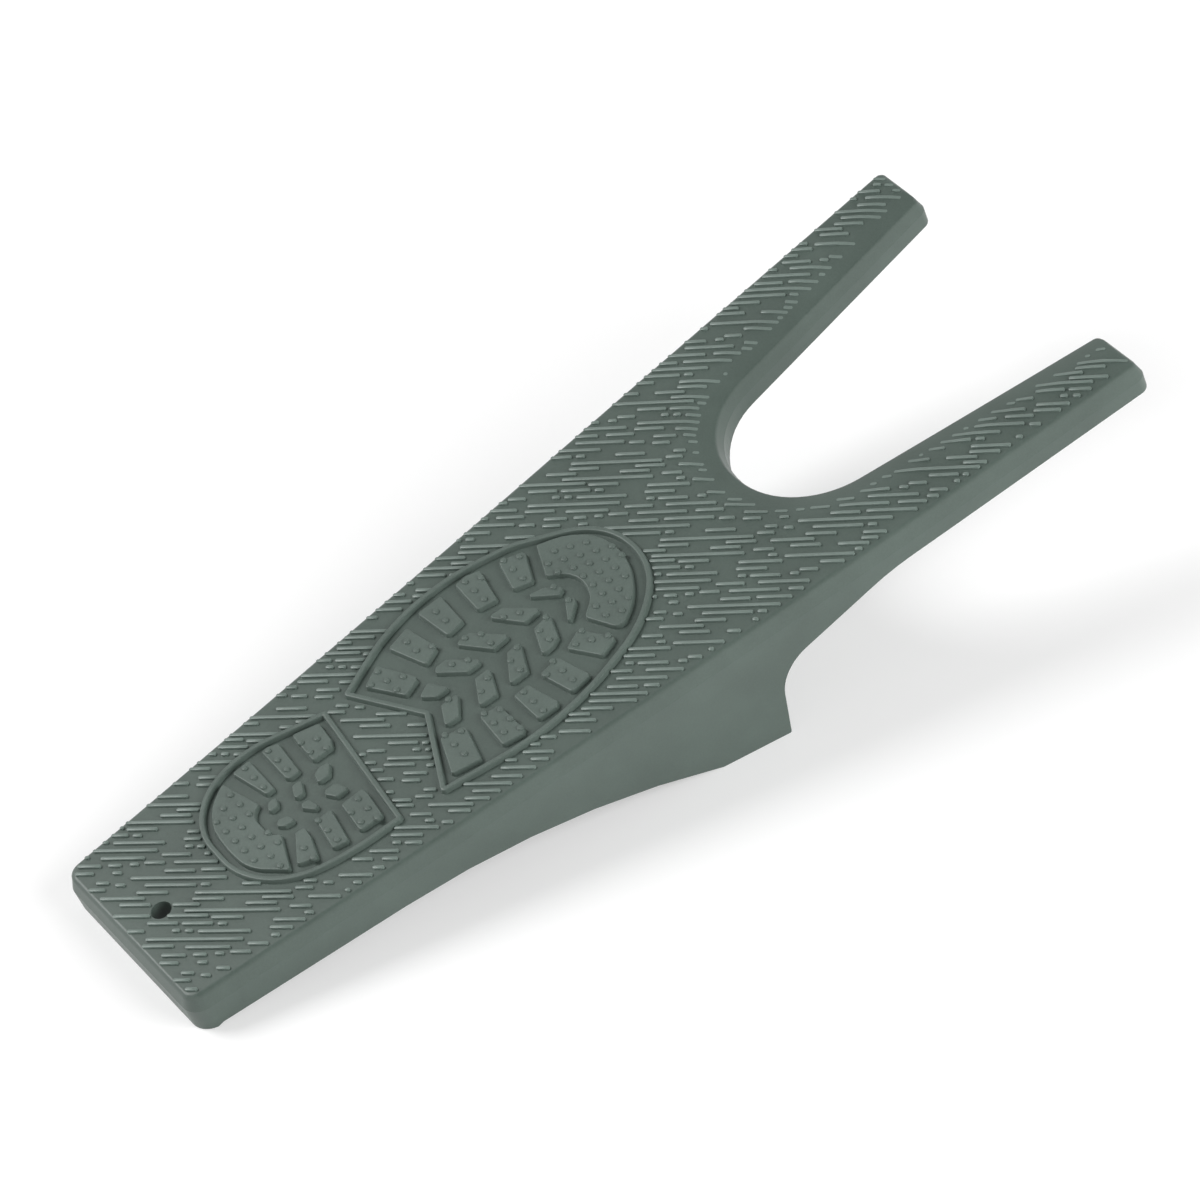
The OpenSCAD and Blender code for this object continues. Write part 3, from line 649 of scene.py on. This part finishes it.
# The grip bars
def depth_inside(points, path):
    """How deep each point lies inside a closed path; outside it is negative."""
    starts, ends = path, np.roll(path, -1, axis=0)
    keep = np.linalg.norm(ends - starts, axis=1) > 1e-6
    starts, ends = starts[keep], ends[keep]
    way = ends - starts
    off = points[:, None, :] - starts[None]
    t = np.clip((off * way).sum(2) / (way ** 2).sum(1), 0, 1)
    near = np.linalg.norm(off - t[..., None] * way, axis=2).min(1)
    x, y = points[:, 0:1], points[:, 1:2]
    crosses = (starts[:, 1] > y) != (ends[:, 1] > y)
    with np.errstate(divide="ignore", invalid="ignore"):
        at = starts[:, 0] + (y - starts[:, 1]) * way[:, 0] / way[:, 1]
    inside = (crosses & (x < at)).sum(1) % 2 == 1
    return np.where(inside, near, -near)


def slot_distance(points):
    """Distance of each point from the edge of the slot, in mm."""
    x, y = points[:, 0], np.abs(points[:, 1])
    sin, cos = math.sin(SLOT_ANGLE), math.cos(SLOT_ANGLE)
    side = (DECK_L - x) * sin + (y - MOUTH_HALF) * cos
    centre_x = SLOT_X + SLOT_R
    centre_y = MOUTH_HALF - (SLOT_R + (DECK_L - centre_x) * sin) / cos
    dx, dy = x - centre_x, y - centre_y
    corner = np.hypot(dx, dy) - SLOT_R
    bottom = SLOT_X - x
    return np.where(dx * cos + dy * sin > 0, side, np.where(dy < 0, bottom, corner))


def bar_room(points, grip):
    """How far each point lies inside the area that carries bars, in mm."""
    x, y = points[:, 0], points[:, 1]
    half = np.where(x < BEND_X, REAR_HALF + (BEND_HALF - REAR_HALF) * x / BEND_X,
                    BEND_HALF + (TIP_HALF - BEND_HALF) * (x - BEND_X) / (DECK_L - BEND_X))
    margin = grip.margin / MM
    left = half - y - margin
    right = half + y - grip.near_margin / MM
    front = DECK_L - margin - x
    rear = x - margin
    corner_r = REAR_CORNER_R - margin
    side = np.minimum(left, right)
    into = np.hypot(np.maximum(corner_r - side, 0), np.maximum(corner_r - rear, 0))
    room = np.minimum(np.minimum(side, front), np.minimum(rear, corner_r - into))
    room = np.minimum(room, slot_distance(points) - grip.fade_to / MM)
    room = np.minimum(room, np.hypot(x - HOLE_X, y) - HOLE_R - HOLE_MARGIN)
    for middle, corners in ((HEEL_X, HEEL_RIM), (FOREFOOT_X, FOREFOOT_RIM)):
        inside = depth_inside(points, rounded_path(middle, corners))
        room = np.minimum(room, -inside - RIM_HALF - RIM_MARGIN)
    return room


def on_deck(across, along, column, row):
    """The place on the deck, in mm, of a point of a tile in this column and row."""
    p = TILE * column + (along + across) / math.sqrt(2)
    q = TILE * row + (across - along) / math.sqrt(2)
    x, y, w = (a * p + b * q + c for a, b, c in TILE_TO_DECK)
    return np.array((x / w, y / w))


def bar_runs(grip):
    """The stretches of all bars that lie on the deck, each as its two ends in mm."""
    runs, spans = [], []
    for column, row in itertools.product(TILE_COLUMNS, TILE_ROWS):
        for across, start, end in BARS:
            a = on_deck(across, start, column, row)
            b = on_deck(across, end, column, row)
            past_ends = max(a[0], b[0]) < 0 or min(a[0], b[0]) > DECK_L
            if past_ends or min(abs(a[1]), abs(b[1])) > SIDE_REACH:
                continue
            count = max(2, int(np.linalg.norm(b - a) / SCAN_STEP))
            spans.append((a, b, count))
    points = np.concatenate([a + (b - a) * np.linspace(0, 1, n)[:, None]
                             for a, b, n in spans])
    clear = bar_room(points, grip) > 0
    first = 0
    for a, b, count in spans:
        free = clear[first:first + count]
        first += count
        edges = np.flatnonzero(np.diff(np.concatenate(([0], free.astype(int), [0]))))
        for i, j in zip(edges[::2], edges[1::2] - 1):
            if (j - i) * SCAN_STEP > SHORTEST_BAR:
                way = (b - a) / (count - 1)
                runs.append((a + way * i, a + way * j))
    return runs


class BOOT_JACK_OT_grip_bars(bpy.types.Operator):
    """Raises the bars between the treads, sinking into the smooth band by the slot"""

    bl_idname = "boot_jack.grip_bars"
    bl_label = "Grip Bars"

    def execute(self, context):
        grip = context.scene.boot_jack_grip
        made = bmesh.new()
        corners = []
        for a, b in bar_runs(grip):
            corners += self.raise_bar(made, a, b, grip)
        bmesh.ops.bevel(made, geom=corners, offset=BAR_CORNER * grip.width / MM,
                        segments=1, affect="EDGES", profile=0.5, material=-1,
                        clamp_overlap=True)
        self.round_tops_with_painted_highlight(made, grip)
        self.settle(made, grip)
        bmesh.ops.transform(made, verts=made.verts,
                            matrix=deck_place() @ Matrix.Scale(MM, 4))
        for vert in made.verts:
            vert.co.z = min(vert.co.z, cad_box[1].z)
        soften(made, BAR_SHARP)
        mesh = bpy.data.meshes.new("grip_bars")
        made.to_mesh(mesh)
        made.free()
        bars = add_piece("grip_bars", mesh)
        # The bars' lighter colour is painted light, and their rounded top edges carry the
        # edges' painted highlight
        finish_with(bars, plastic("bars"), plastic("edges"))
        return {"FINISHED"}

    def raise_bar(self, made, a, b, grip):
        """A bar of unit height from a to b; gives its upright edges."""
        run = Vector((*(b - a), 0))
        turn = Matrix.Rotation(math.atan2(run.y, run.x), 4, "Z")
        size = Matrix.Diagonal((run.length, grip.width / MM, 1 + BAR_SUNK, 1))
        lift = Vector((*((a + b) / 2), (1 - BAR_SUNK) / 2))
        cube = bmesh.ops.create_cube(
            made, size=1, matrix=Matrix.Translation(lift) @ turn @ size)
        edges = list(dict.fromkeys(e for v in cube["verts"] for e in v.link_edges))
        upright, lengthwise = [
            [e for e in edges if self.runs_along(e, way)]
            for way in (Vector((0, 0, 1)), run.normalized())]
        cuts = int(run.length / BAR_STRETCH)
        if cuts:
            bmesh.ops.subdivide_edges(made, edges=lengthwise, cuts=cuts,
                                      use_grid_fill=True)
        return upright

    def runs_along(self, edge, way):
        first, second = edge.verts
        return abs((first.co - second.co).normalized().dot(way)) > 0.9

    def round_tops_with_painted_highlight(self, made, grip):
        """Rounds the edges of the bars' tops, which boots have rubbed, and gives the
        rounding a painted highlight.
        """
        rims = []
        for edge in made.edges:
            tops = [f for f in edge.link_faces if f.normal.z > 0.9]
            if len(tops) == 1 and all(v.co.z > 0.9 for v in edge.verts):
                rims.append(edge)
        worn_and_highlit = bmesh.ops.bevel(made, geom=rims, offset=grip.rounding / MM, segments=1,
                               affect="EDGES", profile=0.5, material=-1,
                               clamp_overlap=True)["faces"]
        for face in worn_and_highlit:
            face.material_index = 1

    def settle(self, made, grip):
        """Sets every bar on the deck below it and sinks it towards the slot."""
        place = deck_place()
        back = place.inverted()
        tree = BVHTree.FromObject(bpy.data.objects["deck"],
                                  bpy.context.evaluated_depsgraph_get())
        down = -(place.to_3x3() @ Vector((0, 0, 1)))
        flat = np.array([(v.co.x, v.co.y) for v in made.verts])
        start, end = grip.fade_from / MM, grip.fade_to / MM
        fade = np.clip((slot_distance(flat) - end) / (start - end), 0, 1)
        fade = fade * fade * (3 - 2 * fade)
        for vert, share in zip(made.verts, fade):
            above = place @ (Vector((vert.co.x, vert.co.y, RAY_START)) * MM)
            hit = tree.ray_cast(above, down)[0]
            if hit is None:
                raise RuntimeError("a grip bar reaches past the deck")
            ground = (back @ hit).z / MM
            if vert.co.z > 0:
                kept = BAR_TRACE + (1 - BAR_TRACE) * share
                vert.co.z *= grip.height / MM * kept
            vert.co.z += ground


# Below the deck
class BOOT_JACK_OT_underside(bpy.types.Operator):
    """Gives the ribs and the walls of the foot their plain moulded finish"""

    bl_idname = "boot_jack.underside"
    bl_label = "Underside"

    def execute(self, context):
        for name in ("foot_walls", "rear_ribs", "foot_ribs", "root_ribs",
                     "left_prong_ribs", "right_prong_ribs"):
            finish_with(frame["nodes"][name], plastic("ribs"))
        return {"FINISHED"}


# The stage
def seen_white(tree):
    """1 for rays that show the background: straight, mirrored or refracted."""
    light_path = add(tree, "ShaderNodeLightPath")
    first = add(tree, "ShaderNodeMath", {"operation": "MAXIMUM"},
                {0: light_path.outputs["Is Camera Ray"],
                 1: light_path.outputs["Is Glossy Ray"]})
    both = add(tree, "ShaderNodeMath", {"operation": "MAXIMUM"},
               {0: first.outputs[0], 1: light_path.outputs["Is Transmission Ray"]})
    return both.outputs[0]


class BOOT_JACK_OT_stage(bpy.types.Operator):
    """Sets the floor, the even surroundings, two soft lamps and the camera"""

    bl_idname = "boot_jack.stage"
    bl_label = "Stage"

    def execute(self, context):
        settings = context.scene.boot_jack_stage
        self.lay_floor(settings)
        self.light_surroundings(settings)
        middle = (cad_box[0] + cad_box[1]) / 2
        self.hang_lamp("left key lamp", middle, KEY_WAY, KEY_SIZE, settings.key)
        fill = self.hang_lamp("right fill lamp", middle, FILL_WAY, FILL_SIZE,
                              settings.fill)
        # Only the key lamp leaves a mirrored glint on the satin plastic
        fill.visible_glossy = False
        self.set_camera()
        context.scene.view_settings.view_transform = "Standard"
        return {"FINISHED"}

    def lay_floor(self, settings):
        made = bmesh.new()
        bmesh.ops.create_grid(made, x_segments=1, y_segments=1, size=settings.floor / 2)
        bmesh.ops.translate(made, verts=made.verts, vec=(0, 0, -FLOOR_DROP * MM))
        mesh = bpy.data.meshes.new("floor")
        made.to_mesh(mesh)
        made.free()
        floor = bpy.data.objects.new("floor", mesh)
        bpy.context.scene.collection.objects.link(floor)
        # Seamless studio paper: white where it is seen, keeping the soft shadow
        paper = bpy.data.materials.new("white studio paper")
        paper.use_nodes = True
        tree = paper.node_tree
        tree.nodes.clear()
        matte = add(tree, "ShaderNodeBsdfDiffuse", None,
                    {"Color": (PAPER_SHADE, PAPER_SHADE, PAPER_SHADE, 1),
                     "Roughness": 0.0})
        glow = add(tree, "ShaderNodeEmission", None,
                   {"Color": (1, 1, 1, 1), "Strength": PAPER_GLOW})
        part = add(tree, "ShaderNodeMath", {"operation": "MULTIPLY"},
                   {0: seen_white(tree), 1: GLOW_SHARE})
        mixed = add(tree, "ShaderNodeMixShader", None,
                    {0: part.outputs[0], 1: matte.outputs[0], 2: glow.outputs[0]})
        add(tree, "ShaderNodeOutputMaterial", None, {"Surface": mixed.outputs[0]})
        finish_with(floor, paper)

    def light_surroundings(self, settings):
        """A white wall all round that darkens upwards into an open ceiling."""
        world = bpy.data.worlds.new("white wall below an open ceiling")
        world.use_nodes = True
        tree = world.node_tree
        tree.nodes.clear()
        way = add(tree, "ShaderNodeTexCoord").outputs["Generated"]
        rise = add(tree, "ShaderNodeSeparateXYZ", None, {"Vector": way}).outputs["Z"]
        fall = add(tree, "ShaderNodeMapRange", {"interpolation_type": "SMOOTHSTEP"},
                   {"Value": rise, "From Min": math.sin(WALL_TOP),
                    "From Max": math.sin(CEILING_FROM), "To Min": settings.wall,
                    "To Max": settings.ceiling})
        even = add(tree, "ShaderNodeBackground", None,
                   {"Color": (1, 1, 1, 1), "Strength": fall.outputs["Result"]})
        add(tree, "ShaderNodeOutputWorld", None, {"Surface": even.outputs[0]})
        bpy.context.scene.world = world

    def hang_lamp(self, name, middle, way, size, power):
        lamp = bpy.data.lights.new(name, "AREA")
        lamp.shape = "DISK"
        lamp.size = size
        lamp.energy = power
        hung = bpy.data.objects.new(name, lamp)
        hung.location = middle + Vector(way)
        hung.rotation_euler = (-Vector(way)).to_track_quat("-Z", "Y").to_euler()
        bpy.context.scene.collection.objects.link(hung)
        return hung

    def set_camera(self):
        lens = bpy.data.cameras.new("camera")
        lens.sensor_width = CAMERA_SENSOR
        lens.lens = CAMERA_LENS
        lens.clip_start, lens.clip_end = CAMERA_CLIP
        camera = bpy.data.objects.new("camera", lens)
        turned = Matrix((CAMERA_RIGHT, CAMERA_UP, CAMERA_BACK)).transposed()
        camera.matrix_world = (Matrix.Translation(CAMERA_PLACE)
                               @ turned.to_quaternion().to_matrix().to_4x4())
        bpy.context.scene.collection.objects.link(camera)
        bpy.context.scene.camera = camera


# Add-on
class BOOT_JACK_PT_panel(bpy.types.Panel):
    """Sizes, colours and steps of the boot jack's looks"""

    bl_idname = "BOOT_JACK_PT_panel"
    bl_label = "Boot Jack"
    bl_space_type = "VIEW_3D"
    bl_region_type = "UI"
    bl_category = "Boot Jack"

    def draw(self, context):
        for step, settings in (
                ("boot_jack.deck", None), ("boot_jack.treads", None),
                ("boot_jack.grip_bars", context.scene.boot_jack_grip),
                ("boot_jack.underside", context.scene.boot_jack_finish),
                ("boot_jack.stage", context.scene.boot_jack_stage)):
            box = self.layout.box()
            box.operator(step)
            for name in settings.__annotations__ if settings else ():
                box.prop(settings, name)


CLASSES = (GripSettings, FinishSettings, StageSettings, BOOT_JACK_OT_deck,
           BOOT_JACK_OT_treads, BOOT_JACK_OT_grip_bars, BOOT_JACK_OT_underside,
           BOOT_JACK_OT_stage, BOOT_JACK_PT_panel)


def register():
    for made in CLASSES:
        bpy.utils.register_class(made)
    bpy.types.Scene.boot_jack_grip = PointerProperty(type=GripSettings)
    bpy.types.Scene.boot_jack_finish = PointerProperty(type=FinishSettings)
    bpy.types.Scene.boot_jack_stage = PointerProperty(type=StageSettings)


def unregister():
    for name in ("boot_jack_grip", "boot_jack_finish", "boot_jack_stage"):
        delattr(bpy.types.Scene, name)
    for made in reversed(CLASSES):
        bpy.utils.unregister_class(made)


def main():
    register()
    bpy.ops.boot_jack.deck()
    bpy.ops.boot_jack.treads()
    bpy.ops.boot_jack.grip_bars()
    bpy.ops.boot_jack.underside()
    bpy.ops.boot_jack.stage()


if __name__ == "__main__":
    main()
